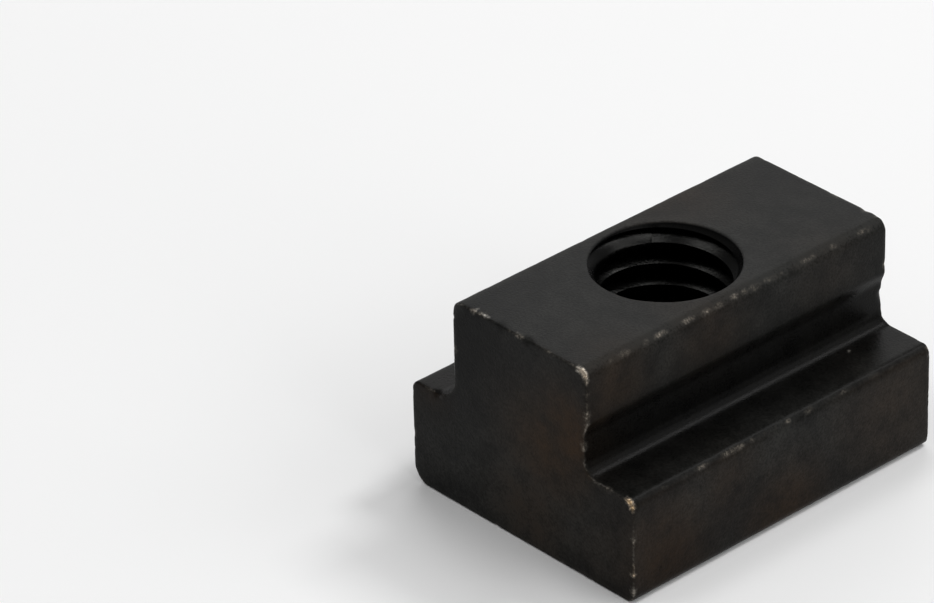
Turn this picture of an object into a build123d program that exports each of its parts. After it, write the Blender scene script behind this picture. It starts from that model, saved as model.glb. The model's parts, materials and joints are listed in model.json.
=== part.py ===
from build123d import *
from build123d.topology import SkipClean
import os
from math import ceil, radians, tan

# Tee-slot nut, a length of drawn tee bar with one tapped through hole.
# Millimetres. +Z is up, out of the top of the stem. +Y runs along the slot.
# The origin is the middle of the underside.

# Bar section
base_width = 25.4
base_height = 9.5
stem_width = 15.3
overall_height = 19.05

# Length sawn off the bar
nut_length = 33.0

# The stem's right-hand side is drawn slightly narrower just above the ledge
relief_depth = 0.4
relief_height = 4.6
relief_slope_height = 1.0

# Rounding of the section's corners
stem_edge_radius = 1.05
relief_radius = 1.5
right_ledge_radius = 1.2
left_ledge_radius = 2.2
base_edge_radius = 0.85
left_foot_radius = 1.6
right_foot_radius = 0.9

# Chamfer round both sawn ends
end_chamfer = 0.2

# Thread, inch series with 60 degree flanks
thread_diameter = 12.7
threads_per_inch = 13
countersink_margin = 0.1

# The hole is drilled a little nearer the -Y end
hole_shift_along = -0.6

# General constants
MM_PER_INCH = 25.4
FLANK_ANGLE = 30
ROOT_FLAT_SHARE = 1 / 8
QUARTERS = 4
FULL_TURN = 360
CUTTER_OVERRUN = 0.6


def thread_pitch():
    return MM_PER_INCH / threads_per_inch


def bore_radius():
    # tap drill rule: thread diameter less one pitch
    return (thread_diameter - thread_pitch()) / 2


def right_corners():
    """The right-hand half of the section from the foot up, as (x, z, radius)."""
    neck = stem_width / 2 - relief_depth
    relief_top = base_height + relief_height
    relief_start = relief_top - relief_slope_height
    return [
        (base_width / 2, 0, right_foot_radius),
        (base_width / 2, base_height, base_edge_radius),
        (neck, base_height, right_ledge_radius),
        (neck, relief_start, relief_radius),
        (stem_width / 2, relief_top, relief_radius),
        (stem_width / 2, overall_height, stem_edge_radius),
    ]


def left_corners():
    """The left-hand half from the top down, with a straight stem and a wider fillet."""
    return [
        (-stem_width / 2, overall_height, stem_edge_radius),
        (-stem_width / 2, base_height, left_ledge_radius),
        (-base_width / 2, base_height, base_edge_radius),
        (-base_width / 2, 0, left_foot_radius),
    ]


def tee_section():
    outline = right_corners() + left_corners()
    section = make_face(Polyline(*[(x, z) for x, z, _ in outline], close=True))
    for x, z, radius in outline:
        corner = section.vertices().sort_by_distance((x, z, 0))[0]
        section = fillet(corner, radius)
    return section


def bar():
    section = Plane.XZ * tee_section()
    length = extrude(section, amount=nut_length / 2, both=True)
    ends = length.faces().filter_by(Axis.Y)
    return chamfer(ends.edges(), end_chamfer)


def hole_cutter(quarter):
    """One quarter turn of the drilled and countersunk hole."""
    mouth = thread_diameter / 2 + countersink_margin / 2
    wide = mouth + CUTTER_OVERRUN
    bore = bore_radius()
    depth = mouth - bore
    half_section = Polyline(
        (0, -CUTTER_OVERRUN),
        (wide, -CUTTER_OVERRUN),
        (bore, depth),
        (bore, overall_height - depth),
        (wide, overall_height + CUTTER_OVERRUN),
        (0, overall_height + CUTTER_OVERRUN),
        close=True,
    )
    wedge = revolve(Plane.XZ * make_face(half_section), Axis.Z, FULL_TURN / QUARTERS)
    return Rot(0, 0, quarter * FULL_TURN / QUARTERS) * wedge


def groove_turn():
    """One turn of the thread groove, as a tap cuts it."""
    pitch = thread_pitch()
    bore = bore_radius()
    depth = thread_diameter / 2 - bore
    root = pitch * ROOT_FLAT_SHARE / 2
    mouth = root + (depth + CUTTER_OVERRUN) * tan(radians(FLANK_ANGLE))
    groove = Polyline(
        (-CUTTER_OVERRUN, -mouth),
        (depth, -root),
        (depth, root),
        (-CUTTER_OVERRUN, mouth),
        close=True,
    )
    path = Helix(pitch=pitch, height=pitch, radius=bore)
    start = Plane(origin=path @ 0, x_dir=(1, 0, 0), z_dir=path % 0)
    return sweep(start * make_face(groove), path=path, is_frenet=True)


def cutters():
    """Every cutter of the tapped hole: the drill and countersinks, then the groove's turns."""
    quarters = [hole_cutter(quarter) for quarter in range(QUARTERS)]
    pitch = thread_pitch()
    turn = groove_turn()
    turns = ceil(overall_height / pitch) + 2
    return quarters + [Pos(0, 0, (number - 1) * pitch) * turn for number in range(turns)]


def tee_slot_nut():
    """The bar with its tapped hole. Crest faces stay in quarter turns, one for each cutter."""
    nut = bar()
    with SkipClean():
        for cutter in cutters():
            nut = nut - Pos(0, hole_shift_along, 0) * cutter
    return nut


os.makedirs("parts", exist_ok=True)
nut = tee_slot_nut()
export_step(nut, "parts/tee_nut_body.step")
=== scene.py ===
import json
import random
from math import acos, ceil, cos, exp, pi, radians, sin, tan

import bmesh
import bpy
from bpy.props import FloatProperty, FloatVectorProperty, PointerProperty
from mathutils import Matrix, Vector, noise
from mathutils.geometry import delaunay_2d_cdt
from mathutils.kdtree import KDTree


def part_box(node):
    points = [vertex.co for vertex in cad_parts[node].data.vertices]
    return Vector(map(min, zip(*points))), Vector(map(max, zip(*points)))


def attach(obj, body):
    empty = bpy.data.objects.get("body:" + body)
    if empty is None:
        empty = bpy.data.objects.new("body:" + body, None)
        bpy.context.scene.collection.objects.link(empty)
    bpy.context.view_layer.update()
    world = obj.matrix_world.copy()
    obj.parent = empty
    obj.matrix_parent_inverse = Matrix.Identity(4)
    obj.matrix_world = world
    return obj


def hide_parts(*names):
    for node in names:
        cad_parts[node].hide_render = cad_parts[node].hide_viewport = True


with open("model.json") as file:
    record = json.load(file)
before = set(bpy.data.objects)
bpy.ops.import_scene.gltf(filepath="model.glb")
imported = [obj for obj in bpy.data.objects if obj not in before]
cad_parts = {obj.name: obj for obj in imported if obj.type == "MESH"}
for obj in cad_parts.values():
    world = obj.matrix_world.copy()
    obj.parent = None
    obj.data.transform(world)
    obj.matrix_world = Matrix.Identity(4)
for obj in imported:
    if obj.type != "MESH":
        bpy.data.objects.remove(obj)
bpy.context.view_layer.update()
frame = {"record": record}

bl_info = {
    "name": "Tee-slot nut",
    "version": (1, 0, 0),
    "blender": (4, 5, 0),
    "location": "3D View > Sidebar > Tee Nut",
    "description": "A black-oxide tee-slot nut with a tapped hole, on a pale floor",
    "category": "Add Mesh",
}

# ---------------------------------------------------------------- the frame

NODE = "tee_nut_body"
LOW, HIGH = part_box(NODE)
MOUNTS = {mount["name"]: mount for mount in frame["record"]["mounts"]}
HOLE = MOUNTS["tapped_hole"]

MM = 0.001
INCH = 25.4 * MM
SEED = 13

# the bar's mesh
END_ROUNDING_STEPS = 4
CAP_JITTER = 0.3
CAP_EDGE_GAP = 0.7
MERGE_DISTANCE = 1e-9
SHARP_ANGLE = radians(32)

# the tapped hole
THREADS_PER_INCH = 13
FLANK_ANGLE = radians(30)
ROOT_FLAT_SHARE = 1 / 8
RIM_SLOPE = tan(radians(22.5))
COUNTERSINK_SLOPE = tan(radians(60))
CUTTER_OVERRUN = 0.6 * MM
STEPS_PER_TURN = 96

# wear: unevenness is given as (depth, distance between bumps, shift of the noise)
UNEVENNESS = ((0.02 * MM, 3.1 * MM, 5), (0.008 * MM, 0.9 * MM, 9))
KNOCKS_PER_LONG_EDGE = 34
KNOCKS_PER_END = 64

# softboxes, as (name, direction from the nut, distance, size, setting that holds the level)
SOFTBOXES = (
    ("overhead_right_softbox", (0.28, 0.15, 0.95), 1.05, 0.36, "overhead_level"),
    ("overhead_left_softbox", (-0.3, -0.3, 0.9), 1.05, 0.36, "overhead_level"),
    ("back_softbox", (0.1, 0.57, 0.81), 1.05, 0.26, "back_level"),
    ("back_left_softbox", (-0.64, 0.57, 0.515), 1.2, 0.75, "left_level"),
    ("back_right_softbox", (0.6, 0.5, 0.6), 1.2, 0.6, "right_level"),
    ("side_softbox", (0.9, 0, 0.43), 1.2, 0.6, "side_level"),
)

# the camera, whose offset is the frame's origin as the camera sees it
SENSOR_WIDTH = 36
CAMERA_AZIMUTH, CAMERA_ELEVATION, CAMERA_ROLL = 0.8418, 0.5419, -0.0259
CAMERA_OFFSET = Vector((16.528, -12.946, -482.97)) * MM
FLOOR_REACH = 3.0


# ---------------------------------------------------------------- settings


def length_property(name, description, default):
    return FloatProperty(name=name, description=description, default=default, unit="LENGTH",
                         subtype="DISTANCE", precision=5)


def colour_property(name, description, default):
    return FloatVectorProperty(name=name, description=description, default=default, size=3,
                               subtype="COLOR", min=0, max=1)


def share_property(name, description, default):
    return FloatProperty(name=name, description=description, default=default, min=0, max=1,
                         subtype="FACTOR")


def level_property(name, description, default):
    return FloatProperty(name=name, description=description, default=default, min=0, max=20)


class TeeNutSizes(bpy.types.PropertyGroup):
    """Sizes of the nut, in metres."""

    nut_length: length_property("Length", "Length along the slot", HIGH.y - LOW.y)
    base_width: length_property("Base width", "Width across the base", HIGH.x - LOW.x)
    base_height: length_property(
        "Base height", "Height of the ledges", MOUNTS["right_ledge"]["pos_m"][2])
    stem_width: length_property(
        "Stem width", "Width of the stem that fits the slot",
        2 * MOUNTS["stem_right_side"]["pos_m"][0])
    overall_height: length_property("Height", "Height of the stem's top", HIGH.z - LOW.z)
    relief_depth: length_property(
        "Relief depth", "How far the right-hand neck stands back from the stem", 0.4 * MM)
    relief_height: length_property("Relief height", "Height of the neck above the ledge", 4.6 * MM)
    relief_slope_height: length_property(
        "Relief slope", "Height over which the neck runs out", 1.0 * MM)
    stem_edge_radius: length_property(
        "Stem edge radius", "Rounding of the stem's long top edges", 1.05 * MM)
    relief_radius: length_property("Relief radius", "Rounding of the neck's two bends", 1.5 * MM)
    right_ledge_radius: length_property(
        "Right ledge radius", "Fillet between neck and right ledge", 1.2 * MM)
    left_ledge_radius: length_property(
        "Left ledge radius", "Fillet between stem and left ledge", 2.2 * MM)
    base_edge_radius: length_property(
        "Base edge radius", "Rounding of the ledge's outer edge", 0.85 * MM)
    right_foot_radius: length_property(
        "Right foot radius", "Rounding of the right bottom edge", 0.9 * MM)
    left_foot_radius: length_property(
        "Left foot radius", "Rounding of the left bottom edge", 1.6 * MM)
    end_edge_radius: length_property(
        "End edge radius", "Broken edge round the sawn ends", 0.2 * MM)
    bore_radius: length_property(
        "Bore radius", "Radius of the tap drill", HOLE["dims"]["r_mm"] * MM)
    thread_pitch: length_property(
        "Thread pitch", "Rise of the thread in one turn", INCH / THREADS_PER_INCH)
    mouth_margin: length_property(
        "Mouth margin", "How much narrower than the thread the countersink is", 0.2 * MM)
    rim_margin: length_property(
        "Rim margin", "How far the countersink's soft rim spreads", 0.12 * MM)
    mesh_step: length_property(
        "Mesh step", "Longest side of a face on the plain surfaces", 0.3 * MM)


class TeeNutFinish(bpy.types.PropertyGroup):
    """Colours and gloss of the black oxide."""

    oxide_colour: colour_property("Oxide", "Black oxide", (0.0016, 0.0016, 0.0015))
    # the grey film colour is also the colour of painted light and painted shade laid on by the film
    # mask
    dust_colour: colour_property("Dust", "Grey film on the oxide", (0.0232, 0.0232, 0.0216))
    # the brown colour is also laid on as painted light and painted shade by the brown mask
    haze_and_painted_light_colour: colour_property(
        "Brown haze", "Thin brown patches in the oxide", (0.042, 0.020, 0.006))
    thread_colour: colour_property(
        "Thread", "Shiny oxide inside the tapped hole", (0.015, 0.015, 0.0145))
    bare_colour: colour_property(
        "Bare steel", "Steel where the oxide is rubbed off", (0.50, 0.47, 0.42))
    warm_colour: colour_property(
        "Warm steel", "Warm tint at the most worn corners", (0.72, 0.50, 0.28))
    oxide_roughness: share_property("Oxide roughness", "Roughness of the oxide", 0.34)
    thread_roughness: share_property("Thread roughness", "Roughness inside the tapped hole", 0.30)
    oxide_gloss: share_property("Oxide gloss", "Specular level of the oxide", 0.048)


class TeeNutStage(bpy.types.PropertyGroup):
    """Floor, lamps and camera."""

    floor_colour: colour_property("Floor", "Colour of the floor", (0.93, 0.93, 0.93))
    fill_level: level_property("Fill level", "Level of the even light all round", 0.27)
    overhead_level: level_property("Overhead level", "Level of the two softboxes overhead", 4.2)
    back_level: level_property("Back level", "Level of the high softbox behind", 13.0)
    left_level: level_property("Left level", "Level of the low softbox behind on the left", 1.75)
    right_level: level_property("Right level", "Level of the softbox behind on the right", 2.0)
    side_level: level_property("Side level", "Level of the softbox at the right-hand side", 2.0)
    lens: FloatProperty(name="Lens", description="Focal length in millimetres", default=231.27,
                        min=10, max=500)


# ---------------------------------------------------------------- section of the bar


def right_corners(sizes):
    """The right-hand half of the section from the foot up, as (x, z, radius)."""
    half_base = sizes.base_width / 2
    half_stem = sizes.stem_width / 2
    neck = half_stem - sizes.relief_depth
    relief_top = sizes.base_height + sizes.relief_height
    return [
        (half_base, 0, sizes.right_foot_radius),
        (half_base, sizes.base_height, sizes.base_edge_radius),
        (neck, sizes.base_height, sizes.right_ledge_radius),
        (neck, relief_top - sizes.relief_slope_height, sizes.relief_radius),
        (half_stem, relief_top, sizes.relief_radius),
        (half_stem, sizes.overall_height, sizes.stem_edge_radius),
    ]


def left_corners(sizes):
    """The left-hand half from the top down, with a straight stem and a wider fillet."""
    half_base = sizes.base_width / 2
    half_stem = sizes.stem_width / 2
    return [
        (-half_stem, sizes.overall_height, sizes.stem_edge_radius),
        (-half_stem, sizes.base_height, sizes.left_ledge_radius),
        (-half_base, sizes.base_height, sizes.base_edge_radius),
        (-half_base, 0, sizes.left_foot_radius),
    ]


def corner_arc(before, corner, after, radius, step):
    """Points round one corner, each with its outward normal."""
    arriving = (corner - before).normalized()
    leaving = (after - corner).normalized()
    turn = acos(max(-1, min(1, arriving.dot(leaving))))
    side = 1 if arriving.cross(leaving) > 0 else -1
    reach = radius * tan(turn / 2)
    start = corner - arriving * reach
    inward = Vector((-arriving.y, arriving.x)) * side
    centre = start + inward * radius
    count = max(3, ceil(radius * turn / (step / 2)))
    points = []
    for number in range(count + 1):
        angle = side * turn * number / count
        spoke = Matrix.Rotation(angle, 2) @ (start - centre)
        points.append((centre + spoke, spoke.normalized() * side))
    return points


def outline_points(sizes):
    """Points and outward normals round the section, close together on the rounded corners."""
    section = right_corners(sizes) + left_corners(sizes)
    corners = [(Vector((x, z)), radius) for x, z, radius in section]
    step = sizes.mesh_step
    arcs = []
    for number, (corner, radius) in enumerate(corners):
        before = corners[number - 1][0]
        after = corners[(number + 1) % len(corners)][0]
        arcs.append(corner_arc(before, corner, after, radius, step))
    points = []
    for number, arc in enumerate(arcs):
        points += arc
        start, normal = arc[-1]
        stop = arcs[(number + 1) % len(arcs)][0][0]
        pieces = max(1, ceil((stop - start).length / step))
        points += [(start.lerp(stop, share / pieces), normal) for share in range(1, pieces)]
    return points


# ---------------------------------------------------------------- solid bar


def ring_places(sizes):
    """(y, inset) of each ring of points, from one sawn end to the other."""
    half = sizes.nut_length / 2
    radius = sizes.end_edge_radius
    rounding = []
    for number in range(END_ROUNDING_STEPS + 1):
        angle = pi / 2 * number / END_ROUNDING_STEPS
        rounding.append((half - radius + radius * sin(angle), radius * (1 - cos(angle))))
    straight = half - radius
    pieces = ceil(2 * straight / sizes.mesh_step)
    middle = [(-straight + 2 * straight * number / pieces, 0) for number in range(1, pieces)]
    near = [(-y, inset) for y, inset in reversed(rounding)]
    return near + middle + rounding


def cap_points(loop, step, draws):
    """Loosely spaced points inside a closed loop, clear of its edge."""
    edge = KDTree(len(loop))
    for number, point in enumerate(loop):
        edge.insert((point.x, point.y, 0), number)
    edge.balance()
    low_x, high_x = min(p.x for p in loop), max(p.x for p in loop)
    low_z, high_z = min(p.y for p in loop), max(p.y for p in loop)
    inside = []
    for column in range(1, ceil((high_x - low_x) / step)):
        for row in range(1, ceil((high_z - low_z) / step)):
            shift_x = draws.uniform(-CAP_JITTER, CAP_JITTER)
            shift_z = draws.uniform(-CAP_JITTER, CAP_JITTER)
            grid = Vector((low_x + column * step, low_z + row * step))
            point = grid + Vector((shift_x, shift_z)) * step
            gap = edge.find((point.x, point.y, 0))[2]
            if gap > CAP_EDGE_GAP * step and inside_loop(point, loop):
                inside.append(point)
    return inside


def inside_loop(point, loop):
    """Even-odd test of a point against a closed loop."""
    inside = False
    for number, here in enumerate(loop):
        there = loop[number - 1]
        if (here.y > point.y) != (there.y > point.y):
            crossing = here.x + (point.y - here.y) * (there.x - here.x) / (there.y - here.y)
            if point.x < crossing:
                inside = not inside
    return inside


def close_end(mesh, ring, y, step, outward, draws):
    """Fills a sawn end with small triangles. outward is -1 or 1, the way that the end faces."""
    loop = [Vector((vertex.co.x, vertex.co.z)) for vertex in ring]
    extra = cap_points(loop, step, draws)
    edges = [(number, (number + 1) % len(loop)) for number in range(len(loop))]
    points = loop + extra
    places, _, faces, sources, _, _ = delaunay_2d_cdt(points, edges, [], 1, MERGE_DISTANCE)
    corners = []
    for place, source in zip(places, sources):
        on_ring = [number for number in source if number < len(loop)]
        corners.append(ring[on_ring[0]] if on_ring else mesh.verts.new((place.x, y, place.y)))
    for face in faces:
        order = face if outward < 0 else reversed(face)
        mesh.faces.new([corners[number] for number in order])


def solid_bar(sizes):
    """The bar before it is drilled, as a closed mesh of small faces."""
    outline = outline_points(sizes)
    mesh = bmesh.new()
    rings = []
    for y, inset in ring_places(sizes):
        ring = []
        for point, normal in outline:
            place = point - normal * inset
            ring.append(mesh.verts.new((place.x, y, place.y)))
        rings.append(ring)
    count = len(outline)
    for near, far in zip(rings, rings[1:]):
        for number in range(count):
            after = (number + 1) % count
            mesh.faces.new((near[number], far[number], far[after], near[after]))
    draws = random.Random(SEED)
    half = sizes.nut_length / 2
    close_end(mesh, rings[0], -half, sizes.mesh_step, -1, draws)
    close_end(mesh, rings[-1], half, sizes.mesh_step, 1, draws)
    bmesh.ops.recalc_face_normals(mesh, faces=mesh.faces)
    data = bpy.data.meshes.new("solid_bar")
    mesh.to_mesh(data)
    mesh.free()
    return data


# ---------------------------------------------------------------- node trees


def add_node(tree, kind, **settings):
    node = tree.nodes.new(kind)
    for name, value in settings.items():
        setattr(node, name, value)
    return node


def feed(tree, target, source):
    """Puts a value on an input socket, or links an output socket to it."""
    if isinstance(source, bpy.types.NodeSocket):
        tree.links.new(source, target)
    else:
        target.default_value = source


def math_node(tree, operation, *sources, clamp=False):
    node = add_node(tree, "ShaderNodeMath", operation=operation, use_clamp=clamp)
    for number, source in enumerate(sources):
        feed(tree, node.inputs[number], source)
    return node.outputs[0]


def combine_xyz(tree, x, y, z):
    node = add_node(tree, "ShaderNodeCombineXYZ")
    for name, source in (("X", x), ("Y", y), ("Z", z)):
        feed(tree, node.inputs[name], source)
    return node.outputs[0]


def move_geometry(tree, geometry, offset):
    node = add_node(tree, "GeometryNodeTransform")
    tree.links.new(geometry, node.inputs["Geometry"])
    tree.links.new(offset, node.inputs["Translation"])
    return node.outputs[0]


def arrange(tree):
    """Spreads the nodes out in columns so that the tree can be read."""
    for number, node in enumerate(tree.nodes):
        node.location = (220 * (number % 12), -260 * (number // 12))


TAPPED_HOLE_INPUTS = (
    ("Hole Y", "NodeSocketFloat"),
    ("Height", "NodeSocketFloat"),
    ("Bore Radius", "NodeSocketFloat"),
    ("Pitch", "NodeSocketFloat"),
    ("Mouth Radius", "NodeSocketFloat"),
    ("Rim Radius", "NodeSocketFloat"),
    ("Overrun", "NodeSocketFloat"),
    ("Steps per Turn", "NodeSocketInt"),
    ("Material", "NodeSocketMaterial"),
)


def tapped_hole_tree():
    """Cuts a drilled, countersunk and tapped hole down through the incoming solid."""
    tree = bpy.data.node_groups.new("Tapped Hole", "GeometryNodeTree")
    face = tree.interface
    face.new_socket("Geometry", in_out="INPUT", socket_type="NodeSocketGeometry")
    for name, kind in TAPPED_HOLE_INPUTS:
        face.new_socket(name, in_out="INPUT", socket_type=kind)
    face.new_socket("Geometry", in_out="OUTPUT", socket_type="NodeSocketGeometry")
    given = add_node(tree, "NodeGroupInput").outputs
    height, bore, pitch = given["Height"], given["Bore Radius"], given["Pitch"]
    overrun, steps = given["Overrun"], given["Steps per Turn"]

    drill = add_node(tree, "GeometryNodeMeshCylinder", fill_type="NGON")
    feed(tree, drill.inputs["Vertices"], steps)
    feed(tree, drill.inputs["Radius"], bore)
    drill_depth = math_node(tree, "MULTIPLY_ADD", overrun, 2.0, height)
    feed(tree, drill.inputs["Depth"], drill_depth)
    middle = math_node(tree, "MULTIPLY", height, 0.5)
    place = combine_xyz(tree, 0.0, given["Hole Y"], middle)
    drilled = move_geometry(tree, drill.outputs["Mesh"], place)

    # at each face a steep countersink, and a flatter cone that softens its rim
    narrow = math_node(tree, "SUBTRACT", bore, overrun)
    cones = []
    cone_sizes = ((COUNTERSINK_SLOPE, given["Mouth Radius"]), (RIM_SLOPE, given["Rim Radius"]))
    for slope, radius in cone_sizes:
        wide = math_node(tree, "MULTIPLY_ADD", overrun, 1 / slope, radius)
        cone_height = math_node(tree, "MULTIPLY", math_node(tree, "SUBTRACT", wide, narrow), slope)
        for top in (True, False):
            cone = add_node(tree, "GeometryNodeMeshCone", fill_type="NGON")
            feed(tree, cone.inputs["Vertices"], steps)
            feed(tree, cone.inputs["Radius Top"], wide if top else narrow)
            feed(tree, cone.inputs["Radius Bottom"], narrow if top else wide)
            feed(tree, cone.inputs["Depth"], cone_height)
            if top:
                above = math_node(tree, "ADD", height, overrun)
                base = math_node(tree, "SUBTRACT", above, cone_height)
            else:
                base = math_node(tree, "MULTIPLY", overrun, -1.0)
            place = combine_xyz(tree, 0.0, given["Hole Y"], base)
            cones.append(move_geometry(tree, cone.outputs["Mesh"], place))

    # the tap's groove: a trapezoid carried up a helix on the bore's wall, a turn past each face
    turns = math_node(tree, "ADD", math_node(tree, "DIVIDE", height, pitch), 2.0)
    turns = math_node(tree, "CEIL", turns)
    helix = add_node(tree, "GeometryNodeCurveSpiral")
    feed(tree, helix.inputs["Resolution"], steps)
    feed(tree, helix.inputs["Rotations"], turns)
    feed(tree, helix.inputs["Start Radius"], bore)
    feed(tree, helix.inputs["End Radius"], bore)
    feed(tree, helix.inputs["Height"], math_node(tree, "MULTIPLY", turns, pitch))
    helix.inputs["Reverse"].default_value = True
    below = math_node(tree, "MULTIPLY", pitch, -1.0)
    path = move_geometry(tree, helix.outputs[0], combine_xyz(tree, 0.0, given["Hole Y"], below))
    upright = add_node(tree, "GeometryNodeSetCurveNormal", mode="Z_UP")
    tree.links.new(path, upright.inputs["Curve"])

    groove_depth = math_node(tree, "MULTIPLY", pitch, 0.5)
    half_root = math_node(tree, "MULTIPLY", pitch, ROOT_FLAT_SHARE / 2)
    reach = math_node(tree, "ADD", groove_depth, math_node(tree, "MULTIPLY", overrun, 0.5))
    half_mouth = math_node(tree, "MULTIPLY_ADD", reach, tan(FLANK_ANGLE), half_root)
    groove = add_node(tree, "GeometryNodeCurvePrimitiveQuadrilateral", mode="POINTS")
    inner = math_node(tree, "MULTIPLY", overrun, -0.5)
    corners = (
        (inner, math_node(tree, "MULTIPLY", half_mouth, -1.0)),
        (groove_depth, math_node(tree, "MULTIPLY", half_root, -1.0)),
        (groove_depth, half_root),
        (inner, half_mouth),
    )
    for number, (across, up) in enumerate(corners):
        feed(tree, groove.inputs[f"Point {number + 1}"], combine_xyz(tree, across, up, 0.0))
    sweep = add_node(tree, "GeometryNodeCurveToMesh")
    tree.links.new(upright.outputs[0], sweep.inputs["Curve"])
    tree.links.new(groove.outputs[0], sweep.inputs["Profile Curve"])
    sweep.inputs["Fill Caps"].default_value = True

    cut = add_node(tree, "GeometryNodeMeshBoolean", operation="DIFFERENCE", solver="EXACT")
    tree.links.new(given["Geometry"], cut.inputs["Mesh 1"])
    for cutter in [drilled, *cones, sweep.outputs[0]]:
        tree.links.new(cutter, cut.inputs["Mesh 2"])
    realize = add_node(tree, "GeometryNodeRealizeInstances")
    tree.links.new(cut.outputs["Mesh"], realize.inputs[0])
    finish = add_node(tree, "GeometryNodeSetMaterial")
    tree.links.new(realize.outputs[0], finish.inputs["Geometry"])
    tree.links.new(given["Material"], finish.inputs["Material"])
    result = add_node(tree, "NodeGroupOutput")
    tree.links.new(finish.outputs[0], result.inputs["Geometry"])
    arrange(tree)
    return tree


def run_tree(data, tree, values):
    """Runs a geometry node tree on a mesh and gives the result as a new plain mesh."""
    carrier = bpy.data.objects.new("carrier", data)
    bpy.context.scene.collection.objects.link(carrier)
    modifier = carrier.modifiers.new("Geometry", "NODES")
    modifier.node_group = tree
    for item in tree.interface.items_tree:
        if item.in_out == "INPUT" and item.name in values:
            modifier[item.identifier] = values[item.name]
    graph = bpy.context.evaluated_depsgraph_get()
    result = bpy.data.meshes.new_from_object(carrier.evaluated_get(graph))
    bpy.data.objects.remove(carrier)
    return result


# ---------------------------------------------------------------- wear


def smooth_step(low, high, value):
    share = max(0, min(1, (value - low) / (high - low)))
    return share * share * (3 - 2 * share)


def fade(distance, radius):
    """1 at no distance, and smoothly less towards and past the radius."""
    return exp(-((distance / radius) ** 2))


def wave(place, length, shift=0):
    """Smooth noise from 0 to 1 whose bumps are about one length apart."""
    return 0.5 + 0.5 * noise.noise(place / length + Vector((shift, 2 * shift, 3 * shift)))


def known_scars(sizes):
    """The marks that stand out, as (place, radius, depth, bare metal, warmth, stretch)."""
    stem, base = sizes.stem_width / 2, sizes.base_width / 2
    top, ledge, end = sizes.overall_height, sizes.base_height, sizes.nut_length / 2
    rub = 0.04 * MM
    scars = []

    def scar(x, y, z, radius, depth, bare, warm, stretch=1):
        scars.append((Vector((x, y, z)), radius * MM, depth, bare, warm, stretch))

    # top right corner of the -Y end, the brightest place, and the thin line down from it
    scar(stem - 1.5 * MM, -end, top, 0.25, rub, 0.5, 0.1)
    scar(stem - 0.95 * MM, -end, top, 0.35, rub, 1.2, 0.1)
    scar(stem - 0.5 * MM, -end, top - 0.15 * MM, 0.42, 2 * rub, 2.0, 0.3)
    scar(stem - 0.2 * MM, -end, top - 0.5 * MM, 0.38, 2 * rub, 1.6, 0.4)
    scar(stem - 0.05 * MM, -end, top - 0.95 * MM, 0.3, rub, 0.5, 0.3)
    scar(stem, -end, top - 2.2 * MM, 0.35, rub, 0.2, 0.2)
    scar(stem, -end, top - 3.1 * MM, 0.3, 0, 0.15, 0.2)
    scar(stem, -end, top - 4.0 * MM, 0.35, rub, 0.2, 0.2)
    scar(stem - 0.1 * MM, -end, top - 4.9 * MM, 0.35, 0, 0.3, 0.1)
    # scratch across the top of the same end, and a dark chip beside it
    scar(-5.1 * MM, -end + 0.3 * MM, top, 0.26, rub, 0.8, 0)
    scar(-4.6 * MM, -end + 0.1 * MM, top, 0.22, rub, 0.8, 0)
    scar(-4.2 * MM, -end + 0.3 * MM, top, 0.22, rub, 0.9, 0)
    scar(-3.8 * MM, -end + 0.2 * MM, top, 0.26, rub, 1.0, 0)
    scar(1.1 * MM, -end, top, 0.5, 5 * rub, -1.0, 0)
    scar(-1.9 * MM, -end, top, 0.7, 2 * rub, -0.3, 0)
    # top of the base at the same end
    scar(base - 0.85 * MM, -end, ledge, 0.3, rub, 0.7, 0.6)
    scar(base - 0.45 * MM, -end, ledge - 0.15 * MM, 0.4, 2 * rub, 1.6, 1.0)
    scar(base - 0.15 * MM, -end, ledge - 0.6 * MM, 0.38, 2 * rub, 1.0, 1.0)
    scar(-0.76 * base, -end, ledge, 0.5, 3 * rub, -0.5, 0)
    # spots down the base's upright edge
    scar(base, -end, 0.36 * ledge, 0.25, rub, 0.4, 0.5)
    scar(base, -end, 0.29 * ledge, 0.3, 1.5 * rub, 0.8, 0.6)
    scar(base - 0.2 * MM, -end, 0.12 * ledge, 0.4, rub, 0.45, 0.1)
    # far corner of the base, and a chip in the stem above it
    scar(base - 0.1 * MM, end, ledge - 0.2 * MM, 0.35, rub, 0.7, 0.2)
    scar(base, end, ledge - 0.9 * MM, 0.3, rub, 0.4, 0)
    scar(stem - 0.3 * MM, end, ledge + 2.6 * MM, 0.6, 5 * rub, 0.2, 0)
    # specks on the ledge and beside the hole
    scar(8.75 * MM, 11.2 * MM, ledge, 0.2, rub, 0.5, 0)
    scar(-1.65 * MM, 5.95 * MM, top, 0.2, rub, 0.9, 0)
    # rubbed places along the stem's and the base's right-hand edges
    for y, strength in ((-8.5, 0.4), (-7.9, 0.3), (-5.5, 0.4), (-4.9, 0.3), (-3.3, 0.35),
                        (-0.2, 0.4), (0.9, 0.3), (3.4, 0.2), (7.6, 0.3), (8.5, 0.2),
                        (10.8, 0.25), (13.9, 0.3)):
        scar(stem - 0.35 * MM, y * MM, top - 0.25 * MM, 0.33, rub, strength, 0.2, 1.5)
    for y, strength in ((-9.0, 0.25), (-6.2, 0.15), (-4.6, 0.2), (-3.3, 0.2), (0.6, 0.25),
                        (6.8, 0.2)):
        scar(base - 0.25 * MM, y * MM, ledge - 0.25 * MM, 0.28, rub, strength, 0.2, 1.6)
    return scars


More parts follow.
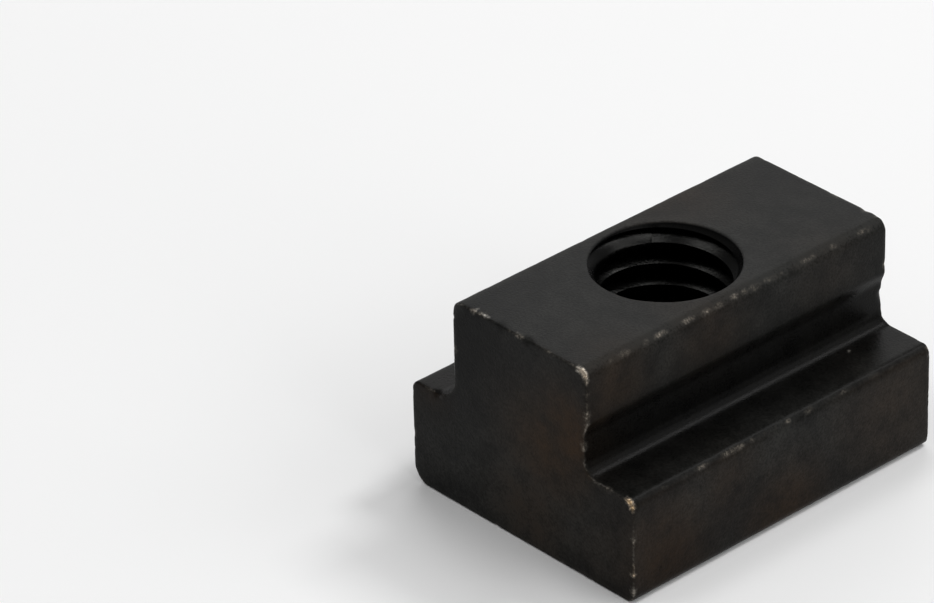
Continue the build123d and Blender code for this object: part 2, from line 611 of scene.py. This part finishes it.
def chance_scars(sizes, outline):
    """Small knocks along the long edges and round both sawn ends, in the same form."""
    draws = random.Random(SEED)
    end = sizes.nut_length / 2
    corners = [(side * x, z) for side in (-1, 1) for x, z in (
        (sizes.stem_width / 2, sizes.overall_height), (sizes.base_width / 2, sizes.base_height))]
    scars = []
    for x, z in corners:
        inner = Vector((x - 0.3 * MM * (1 if x > 0 else -1), z - 0.3 * MM))
        for _ in range(KNOCKS_PER_LONG_EDGE):
            place = Vector((inner.x, draws.uniform(-end, end), inner.y))
            radius = draws.uniform(0.15, 0.45) * MM
            depth = draws.uniform(0, 0.05) * MM
            metal = draws.random() ** 2 * 0.22
            scars.append((place, radius, depth, metal, 0.2, draws.uniform(1, 2.5)))
    for side in (-1, 1):
        for _ in range(KNOCKS_PER_END):
            point = draws.choice(outline)[0]
            radius = draws.uniform(0.15, 0.6) * MM
            depth = draws.uniform(0, 0.06) * MM
            place = Vector((point.x, side * end, point.y))
            scars.append((place, radius, depth, draws.random() ** 3 * 0.45, 0.15, 1))
    return scars


def brown_and_painted_light_places(sizes):
    """Where the oxide is brownest, as (place, radius, amount); one spot is painted light."""
    stem, base = sizes.stem_width / 2, sizes.base_width / 2
    top, ledge, end = sizes.overall_height, sizes.base_height, sizes.nut_length / 2
    spots = (
        (3 * MM, -end, 1.05 * ledge, 4.5, 1.1),
        (5.5 * MM, -end, 1.3 * ledge, 3.8, 1.3),
        # painted light: the next spot lightens the lower middle of the -Y end against the floor's
        # shadow that it reflects
        (1 * MM, -end, 0.35 * ledge, 4, 0.7),
        (0.7 * base, -end, 0.3 * ledge, 4, 0.3),
        (base, -0.8 * end, 0.4 * ledge, 5, 0.7),
        (base, 0, 0.15 * ledge, 4, 0.9),
        (base, -0.4 * end, 0.7 * ledge, 4, 0.4),
        (base, 0.75 * end, 0.6 * ledge, 6, 0.5),
        (stem, -0.8 * end, 0.87 * top, 3.5, 0.6),
        (stem, -0.2 * end, 0.87 * top, 4, 0.4),
        (stem, 0.6 * end, 0.87 * top, 4, 0.2),
        (-0.85 * base, -0.9 * end, ledge, 2.2, 0.7),
        (-base, -0.3 * end, 0.4 * ledge, 6, 0.6),
        (-stem, 0.4 * end, 0.87 * top, 5, 0.5),
        (-2 * MM, end, 0.9 * ledge, 6, 0.6),
    )
    return [(Vector((x, y, z)), radius * MM, amount) for x, y, z, radius, amount in spots]


def edge_wear(place, depth, from_end):
    """Oxide rubbed thin along the sawn ends' edges. depth is from the section's outline."""
    gap = (depth ** 2 + from_end ** 2) ** 0.5
    line = fade(gap, 0.16 * MM)
    return line * (0.10 + 0.3 * smooth_step(0.35, 0.8, wave(place, 1.3 * MM)))


def painted_corner_shade(place, sizes):
    """1 in the corner between neck and ledge, which is darkened there as painted shade, else 0."""
    half_stem = sizes.stem_width / 2
    beside = smooth_step(half_stem - 1.2 * MM, half_stem - 0.8 * MM, abs(place.x))
    inside = smooth_step(sizes.nut_length / 2, sizes.nut_length / 2 - 0.15 * MM, abs(place.y))
    above = smooth_step(sizes.base_height - 0.45 * MM, sizes.base_height - 0.1 * MM, place.z)
    neck_top = sizes.base_height + sizes.relief_height
    below = smooth_step(neck_top + 1.4 * MM, neck_top - 1.0 * MM, place.z)
    return beside * inside * above * below


def film_and_painted_light_places(sizes):
    """Where the grey film is thicker or thinner than elsewhere, as (place, radius, amount); some
    spots are painted light and one is painted shade.
    """
    stem, base = sizes.stem_width / 2, sizes.base_width / 2
    top, ledge, end = sizes.overall_height, sizes.base_height, sizes.nut_length / 2
    spots = (
        # painted shade: a dark reflection painted on the upper left of the -Y end
        (-0.7 * stem, -end, 0.88 * top, 6.0, -1.0),
        # painted light: the next three spots lighten the lower -Y end against the floor's shadow
        # that it reflects
        (0, -end, 0.3 * ledge, 5, 2.0),
        (-0.7 * base, -end, 0.3 * ledge, 4, 0.4),
        (0.7 * base, -end, 0.4 * ledge, 4, 1.3),
        (0.1 * stem, -end, 0.5 * top, 4, 0.8),
        (base, -0.8 * end, 0.2 * ledge, 4, -0.7),
        (base, -0.6 * end, 0.75 * ledge, 3, 1.0),
        (stem, -0.5 * end, 0.9 * top, 3, 0.6),
        (base, 0, 0.75 * ledge, 4, 1.1),
        (base, 0.75 * end, 0.6 * ledge, 6, 0.8),
        (0, -0.75 * end, top, 7, 1.1),
        (0, 0, top, 8, 0.5),
        (0.5 * stem, 0.5 * end, top, 7, 0.9),
        (-0.8 * base, -0.9 * end, ledge, 2.5, -0.6),
        (-base, 0.2 * end, 0.5 * ledge, 5, 0.8),
        (2 * MM, end, 0.6 * top, 5, 0.6),
    )
    return [(Vector((x, y, z)), radius * MM, amount) for x, y, z, radius, amount in spots]


def film(place, sizes, spots):
    """How thick the grey film is at a place outside the hole, with painted light and painted shade
    in it.
    """
    thick = 1 + sum(amount * fade((place - spot).length, radius) for spot, radius, amount in spots)
    # painted highlight: the film is made thickest on the rounding of the stem's long top edges
    rounding = Vector((sizes.stem_width / 2 - 0.65 * MM, sizes.overall_height - 0.1 * MM))
    thick += 2.0 * fade((Vector((abs(place.x), place.z)) - rounding).length, 0.6 * MM)
    # painted shade: the film is thinned in the neck's corner, less so out on the ledge
    ledge = smooth_step(0.35 * sizes.base_width, 0.47 * sizes.base_width, abs(place.x))
    return max(0, thick) * (1 - (0.7 - 0.5 * ledge) * painted_corner_shade(place, sizes))


def brown_haze_and_painted_light(place, sizes, spots):
    """How brown the oxide is at a place outside the hole, with painted light and painted shade in
    it.
    """
    brown = max(amount * fade((place - spot).length, radius) for spot, radius, amount in spots)
    # painted shade: less brown in the neck's corner
    return brown * (1 - 0.85 * painted_corner_shade(place, sizes))


def search_tree(places):
    """A search tree over places, each under its own number."""
    tree = KDTree(len(places))
    for number, place in enumerate(places):
        tree.insert(place, number)
    tree.balance()
    return tree


def worn_shape(data, sizes):
    """Adds slight unevenness and knocks to the shape, and the masks that the finish reads."""
    outline = outline_points(sizes)
    section = search_tree([(point.x, point.y, 0) for point, _ in outline])
    points = search_tree([vertex.co for vertex in data.vertices])
    end = sizes.nut_length / 2
    middle = sizes.overall_height / 2
    axis = Vector((0, HOLE["pos_m"][1]))
    wall = sizes.bore_radius + sizes.thread_pitch / 2 + 0.02 * MM
    # points on the faces count as outside the hole, and its gloss starts below the mouth
    face_gap = 0.01 * MM
    mouth_depth = 0.35 * MM
    brown_and_light_spots, film_and_light_spots = brown_and_painted_light_places(sizes), film_and_painted_light_places(sizes)
    count = len(data.vertices)
    masks = {name: [0.0] * count for name in ("bare", "warm", "brown", "dust", "tapped")}
    sunk = [0.0] * count
    inside = [False] * count
    for vertex in data.vertices:
        place = vertex.co
        number = vertex.index
        from_axis = (place.xy - axis).length
        from_middle = abs(place.z - middle)
        if from_axis < wall and from_middle < middle - face_gap:
            masks["tapped"][number] = 1.0 if from_middle < middle - mouth_depth else 0.0
            inside[number] = True
            continue
        depth = section.find((place.x, place.z, 0))[2]
        masks["bare"][number] = edge_wear(place, depth, end - abs(place.y))
        # the brown mask holds painted light and painted shade as well as brown oxide
        masks["brown"][number] = brown_haze_and_painted_light(place, sizes, brown_and_light_spots)
        # the film mask holds painted light and painted shade as well as grey film
        masks["dust"][number] = film(place, sizes, film_and_light_spots)
        flat = smooth_step(wall, wall + 1.0 * MM, from_axis)
        bumps = sum(height * wave(place, length, shift) for height, length, shift in UNEVENNESS)
        sunk[number] = flat * bumps
    bare, warm = masks["bare"], masks["warm"]
    scars = known_scars(sizes) + chance_scars(sizes, outline)
    for place, radius, depth, metal, warmth, stretch in scars:
        for spot, number, _ in points.find_range(place, radius * stretch):
            offset = spot - place
            offset.y /= stretch
            share = 1 - (offset.length / radius) ** 2
            if share <= 0 or inside[number]:
                continue
            sunk[number] += depth * share ** 2
            bare[number] = max(-1, min(2, bare[number] + metal * share))
            warm[number] = max(warm[number], warmth * share ** 0.5)
    normals = [vertex.normal.copy() for vertex in data.vertices]
    for vertex, normal, depth in zip(data.vertices, normals, sunk):
        vertex.co -= normal * depth
    for name, values in masks.items():
        data.attributes.new(name, "FLOAT", "POINT").data.foreach_set("value", values)


# ---------------------------------------------------------------- materials


def noise_node(tree, vector, scale, detail=4.0, roughness=0.55):
    node = add_node(tree, "ShaderNodeTexNoise")
    tree.links.new(vector, node.inputs["Vector"])
    node.inputs["Scale"].default_value = scale
    node.inputs["Detail"].default_value = detail
    node.inputs["Roughness"].default_value = roughness
    return node.outputs["Fac"]


def mix_colour(tree, factor, first, second):
    node = add_node(tree, "ShaderNodeMix", data_type="RGBA")
    feed(tree, node.inputs[0], factor)
    feed(tree, node.inputs[6], first)
    feed(tree, node.inputs[7], second)
    return node.outputs[2]


def new_group(name, inputs, outputs):
    """An empty shader group with named float or vector sockets."""
    tree = bpy.data.node_groups.new(name, "ShaderNodeTree")
    for label, kind in inputs:
        tree.interface.new_socket(label, in_out="INPUT", socket_type=kind)
    for label, kind in outputs:
        tree.interface.new_socket(label, in_out="OUTPUT", socket_type=kind)
    given = add_node(tree, "NodeGroupInput").outputs
    result = add_node(tree, "NodeGroupOutput").inputs
    return tree, given, result


def place_group(tree, group, **values):
    node = add_node(tree, "ShaderNodeGroup", node_tree=group)
    for label, source in values.items():
        feed(tree, node.inputs[label.replace("_", " ")], source)
    return node.outputs


def scaled(tree, vector, scale):
    node = add_node(tree, "ShaderNodeVectorMath", operation="SCALE")
    tree.links.new(vector, node.inputs[0])
    feed(tree, node.inputs["Scale"], scale)
    return node.outputs[0]


def grain_group():
    """Blotches a few millimetres across and a fine grain, both from 0 to 1."""
    tree, given, result = new_group(
        "Surface Grain",
        [("Vector", "NodeSocketVector"), ("Blotch Scale", "NodeSocketFloat"),
         ("Grain Scale", "NodeSocketFloat")],
        [("Blotches", "NodeSocketFloat"), ("Grain", "NodeSocketFloat")],
    )
    wide = scaled(tree, given["Vector"], given["Blotch Scale"])
    fine = scaled(tree, given["Vector"], given["Grain Scale"])
    blotches = noise_node(tree, wide, 1.0, detail=5.0, roughness=0.62)
    spread = math_node(tree, "MULTIPLY_ADD", blotches, 2.4, -0.7, clamp=True)
    grain = noise_node(tree, fine, 1.0, detail=3.0, roughness=0.6)
    tree.links.new(spread, result["Blotches"])
    tree.links.new(grain, result["Grain"])
    arrange(tree)
    return tree


def wear_group():
    """Turns a smooth wear mask into a faint rub with flecks of bare metal in it."""
    tree, given, result = new_group(
        "Edge Wear",
        [("Vector", "NodeSocketVector"), ("Mask", "NodeSocketFloat"),
         ("Fleck Scale", "NodeSocketFloat"), ("Breakup", "NodeSocketFloat"),
         ("Rub", "NodeSocketFloat")],
        [("Bare", "NodeSocketFloat")],
    )
    fine = scaled(tree, given["Vector"], given["Fleck Scale"])
    flecks = noise_node(tree, fine, 1.0, detail=4.0, roughness=0.7)
    flecks = math_node(tree, "MULTIPLY_ADD", flecks, 6.0, -2.8, clamp=True)
    gain = math_node(tree, "MULTIPLY_ADD", flecks, given["Breakup"], given["Rub"])
    mask = math_node(tree, "POWER", math_node(tree, "MAXIMUM", given["Mask"], 0.0), 1.5)
    tree.links.new(math_node(tree, "MULTIPLY", mask, gain, clamp=True), result["Bare"])
    arrange(tree)
    return tree


def mask_attribute(tree, name):
    return add_node(tree, "ShaderNodeAttribute", attribute_name=name).outputs["Fac"]


def opaque(colour):
    return (*colour, 1)


def oxide_colour_nodes(tree, finish, grain, bare, tapped):
    """Black oxide, then grey film, brown haze, the thread and bare steel over it; the film and
    brown masks also paint light and shade.
    """
    speckle = math_node(tree, "MULTIPLY_ADD", grain["Grain"], 1.4, -0.2, clamp=True)
    blotchy = math_node(tree, "MULTIPLY_ADD", grain["Blotches"], 0.7, 0.3)
    mottle = math_node(tree, "MULTIPLY", speckle, blotchy)
    # the film mask also paints a highlight on the stem's edges, light low on the -Y end and shade
    # in the neck and on the end's upper left
    film = math_node(tree, "MULTIPLY", mottle, mask_attribute(tree, "dust"))
    colour = mix_colour(tree, film, opaque(finish.oxide_colour), opaque(finish.dust_colour))
    # the brown mask also holds painted light low on the -Y end and painted shade in the neck's
    # corner
    haze = math_node(tree, "MULTIPLY", mask_attribute(tree, "brown"), blotchy)
    uneven = math_node(tree, "MULTIPLY_ADD", speckle, 0.5, 0.35)
    haze = math_node(tree, "MULTIPLY", haze, uneven, clamp=True)
    colour = mix_colour(tree, haze, colour, opaque(finish.haze_and_painted_light_colour))
    colour = mix_colour(tree, tapped, colour, opaque(finish.thread_colour))
    warm = mask_attribute(tree, "warm")
    steel = mix_colour(tree, warm, opaque(finish.bare_colour), opaque(finish.warm_colour))
    return mix_colour(tree, bare, colour, steel)


def oxide_roughness_nodes(tree, finish, grain, tapped):
    """Uneven roughness that the film raises, and a smoother thread."""
    fine = math_node(tree, "MULTIPLY_ADD", grain["Grain"], 0.2, finish.oxide_roughness - 0.19)
    blotchy = math_node(tree, "MULTIPLY_ADD", grain["Blotches"], 0.06, fine)
    dusty = math_node(tree, "MULTIPLY_ADD", mask_attribute(tree, "dust"), 0.06, blotchy)
    change = finish.thread_roughness - finish.oxide_roughness
    return math_node(tree, "ADD", dusty, math_node(tree, "MULTIPLY", tapped, change))


def oxide_material(finish):
    """Black oxide with grey film, brown haze, fine grain and bare metal at the worn edges; the film
    and brown masks also paint light and shade.
    """
    material = bpy.data.materials.new("black_oxide")
    material.use_nodes = True
    tree = material.node_tree
    shader = tree.nodes["Principled BSDF"]
    place = add_node(tree, "ShaderNodeTexCoord").outputs["Object"]
    grain = place_group(tree, grain_group(), Vector=place, Blotch_Scale=430.0, Grain_Scale=5000.0)
    wear = place_group(tree, wear_group(), Vector=place, Mask=mask_attribute(tree, "bare"),
                       Fleck_Scale=4000.0, Breakup=1.3, Rub=0.25)
    bare = wear["Bare"]
    tapped = mask_attribute(tree, "tapped")
    colour = oxide_colour_nodes(tree, finish, grain, bare, tapped)
    roughness = oxide_roughness_nodes(tree, finish, grain, tapped)
    tree.links.new(colour, shader.inputs["Base Color"])
    tree.links.new(roughness, shader.inputs["Roughness"])
    tree.links.new(math_node(tree, "MAXIMUM", bare, tapped), shader.inputs["Metallic"])
    shader.inputs["Specular IOR Level"].default_value = finish.oxide_gloss
    bump = add_node(tree, "ShaderNodeBump")
    bump.inputs["Strength"].default_value = 0.8
    bump.inputs["Distance"].default_value = 0.03 * MM
    height = math_node(tree, "MULTIPLY_ADD", grain["Blotches"], 0.15, grain["Grain"])
    tree.links.new(height, bump.inputs["Height"])
    tree.links.new(bump.outputs[0], shader.inputs["Normal"])
    arrange(tree)
    return material


def floor_material(stage):
    material = bpy.data.materials.new("pale_floor")
    material.use_nodes = True
    tree = material.node_tree
    shader = tree.nodes["Principled BSDF"]
    place = add_node(tree, "ShaderNodeTexCoord").outputs["Object"]
    paper = noise_node(tree, place, 40.0)
    rough = math_node(tree, "MULTIPLY_ADD", paper, 0.1, 0.85)
    shader.inputs["Base Color"].default_value = opaque(stage.floor_colour)
    tree.links.new(rough, shader.inputs["Roughness"])
    shader.inputs["Specular IOR Level"].default_value = 0.1
    return material


# ---------------------------------------------------------------- pieces


def build_body(sizes, finish):
    """The whole nut: bar, tapped hole, wear and finish."""
    mouth = sizes.bore_radius + sizes.thread_pitch / 2 - sizes.mouth_margin
    values = {
        "Hole Y": HOLE["pos_m"][1],
        "Height": sizes.overall_height,
        "Bore Radius": sizes.bore_radius,
        "Pitch": sizes.thread_pitch,
        "Mouth Radius": mouth,
        "Rim Radius": mouth + sizes.rim_margin,
        "Overrun": CUTTER_OVERRUN,
        "Steps per Turn": STEPS_PER_TURN,
        "Material": oxide_material(finish),
    }
    data = run_tree(solid_bar(sizes), tapped_hole_tree(), values)
    data.name = "tee_nut"
    worn_shape(data, sizes)
    data.shade_smooth()
    data.set_sharp_from_angle(angle=SHARP_ANGLE)
    body = bpy.data.objects.new("tee_nut", data)
    bpy.context.scene.collection.objects.link(body)
    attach(body, "root")
    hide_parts(NODE)
    return body


def add_floor(stage):
    data = bpy.data.meshes.new("floor")
    reach = FLOOR_REACH
    corners = [(-reach, -reach, 0), (reach, -reach, 0), (reach, reach, 0), (-reach, reach, 0)]
    data.from_pydata(corners, [], [(0, 1, 2, 3)])
    data.materials.append(floor_material(stage))
    floor = bpy.data.objects.new("floor", data)
    bpy.context.scene.collection.objects.link(floor)


def add_softbox(name, direction, distance, size, level):
    """An even square lamp that faces the nut. level 1 looks white to the nut."""
    lamp = bpy.data.lights.new(name, "AREA")
    lamp.shape = "SQUARE"
    lamp.size = size
    lamp.energy = pi * size * size * level
    holder = bpy.data.objects.new(name, lamp)
    aim = Vector(direction).normalized()
    place = (LOW + HIGH) / 2 + aim * distance
    turn = aim.to_track_quat("Z", "Y").to_matrix().to_4x4()
    holder.matrix_world = Matrix.Translation(place) @ turn
    bpy.context.scene.collection.objects.link(holder)


def add_camera(stage):
    """The camera looks down on the nut's near end, top and right-hand side."""
    camera = bpy.data.cameras.new("camera")
    camera.sensor_width = SENSOR_WIDTH
    camera.lens = stage.lens
    camera.clip_start = 0.01
    holder = bpy.data.objects.new("camera", camera)
    azimuth, elevation, roll = CAMERA_AZIMUTH, CAMERA_ELEVATION, CAMERA_ROLL
    level = cos(elevation)
    back = Vector((sin(azimuth) * level, -cos(azimuth) * level, sin(elevation)))
    right = Vector((cos(azimuth), sin(azimuth), 0))
    up = back.cross(right)
    rolled = Matrix(((cos(roll), sin(roll), 0), (-sin(roll), cos(roll), 0), (0, 0, 1)))
    turn = (rolled @ Matrix((right, up, back))).transposed()
    holder.matrix_world = Matrix.Translation(-(turn @ CAMERA_OFFSET)) @ turn.to_4x4()
    bpy.context.scene.collection.objects.link(holder)
    bpy.context.scene.camera = holder


def set_world(stage):
    world = bpy.data.worlds.new("studio")
    bpy.context.scene.world = world
    world.use_nodes = True
    tree = world.node_tree
    background = tree.nodes["Background"]
    seen = add_node(tree, "ShaderNodeLightPath").outputs["Is Camera Ray"]
    strength = math_node(tree, "MULTIPLY_ADD", seen, 1 - stage.fill_level, stage.fill_level)
    background.inputs["Color"].default_value = (1, 1, 1, 1)
    tree.links.new(strength, background.inputs["Strength"])


# ---------------------------------------------------------------- operators and panel


class TEENUT_OT_body(bpy.types.Operator):
    """Build the nut with its tapped hole, wear and black oxide"""

    bl_idname = "teenut.body"
    bl_label = "Build Nut"

    def execute(self, context):
        build_body(context.scene.tee_nut_sizes, context.scene.tee_nut_finish)
        return {"FINISHED"}


class TEENUT_OT_stage(bpy.types.Operator):
    """Lay the floor and set the lamps, the world and the camera"""

    bl_idname = "teenut.stage"
    bl_label = "Set Stage"

    def execute(self, context):
        stage = context.scene.tee_nut_stage
        add_floor(stage)
        set_world(stage)
        for name, direction, distance, size, setting in SOFTBOXES:
            add_softbox(name, direction, distance, size, getattr(stage, setting))
        add_camera(stage)
        context.scene.view_settings.view_transform = "Standard"
        return {"FINISHED"}


class TEENUT_PT_panel(bpy.types.Panel):
    """Lists the nut's settings and its two operators"""

    bl_idname = "TEENUT_PT_panel"
    bl_label = "Tee-Slot Nut"
    bl_space_type = "VIEW_3D"
    bl_region_type = "UI"
    bl_category = "Tee Nut"

    def draw(self, context):
        scene = context.scene
        for group in (scene.tee_nut_sizes, scene.tee_nut_finish, scene.tee_nut_stage):
            column = self.layout.column(align=True)
            for name in group.__annotations__:
                column.prop(group, name)
        self.layout.operator("teenut.body")
        self.layout.operator("teenut.stage")


CLASSES = (TeeNutSizes, TeeNutFinish, TeeNutStage, TEENUT_OT_body, TEENUT_OT_stage, TEENUT_PT_panel)


def register():
    for entry in CLASSES:
        bpy.utils.register_class(entry)
    bpy.types.Scene.tee_nut_sizes = PointerProperty(type=TeeNutSizes)
    bpy.types.Scene.tee_nut_finish = PointerProperty(type=TeeNutFinish)
    bpy.types.Scene.tee_nut_stage = PointerProperty(type=TeeNutStage)


def unregister():
    del bpy.types.Scene.tee_nut_stage
    del bpy.types.Scene.tee_nut_finish
    del bpy.types.Scene.tee_nut_sizes
    for entry in reversed(CLASSES):
        bpy.utils.unregister_class(entry)


def main():
    register()
    bpy.ops.teenut.body()
    bpy.ops.teenut.stage()
    bpy.context.view_layer.update()


if __name__ == "__main__":
    main()
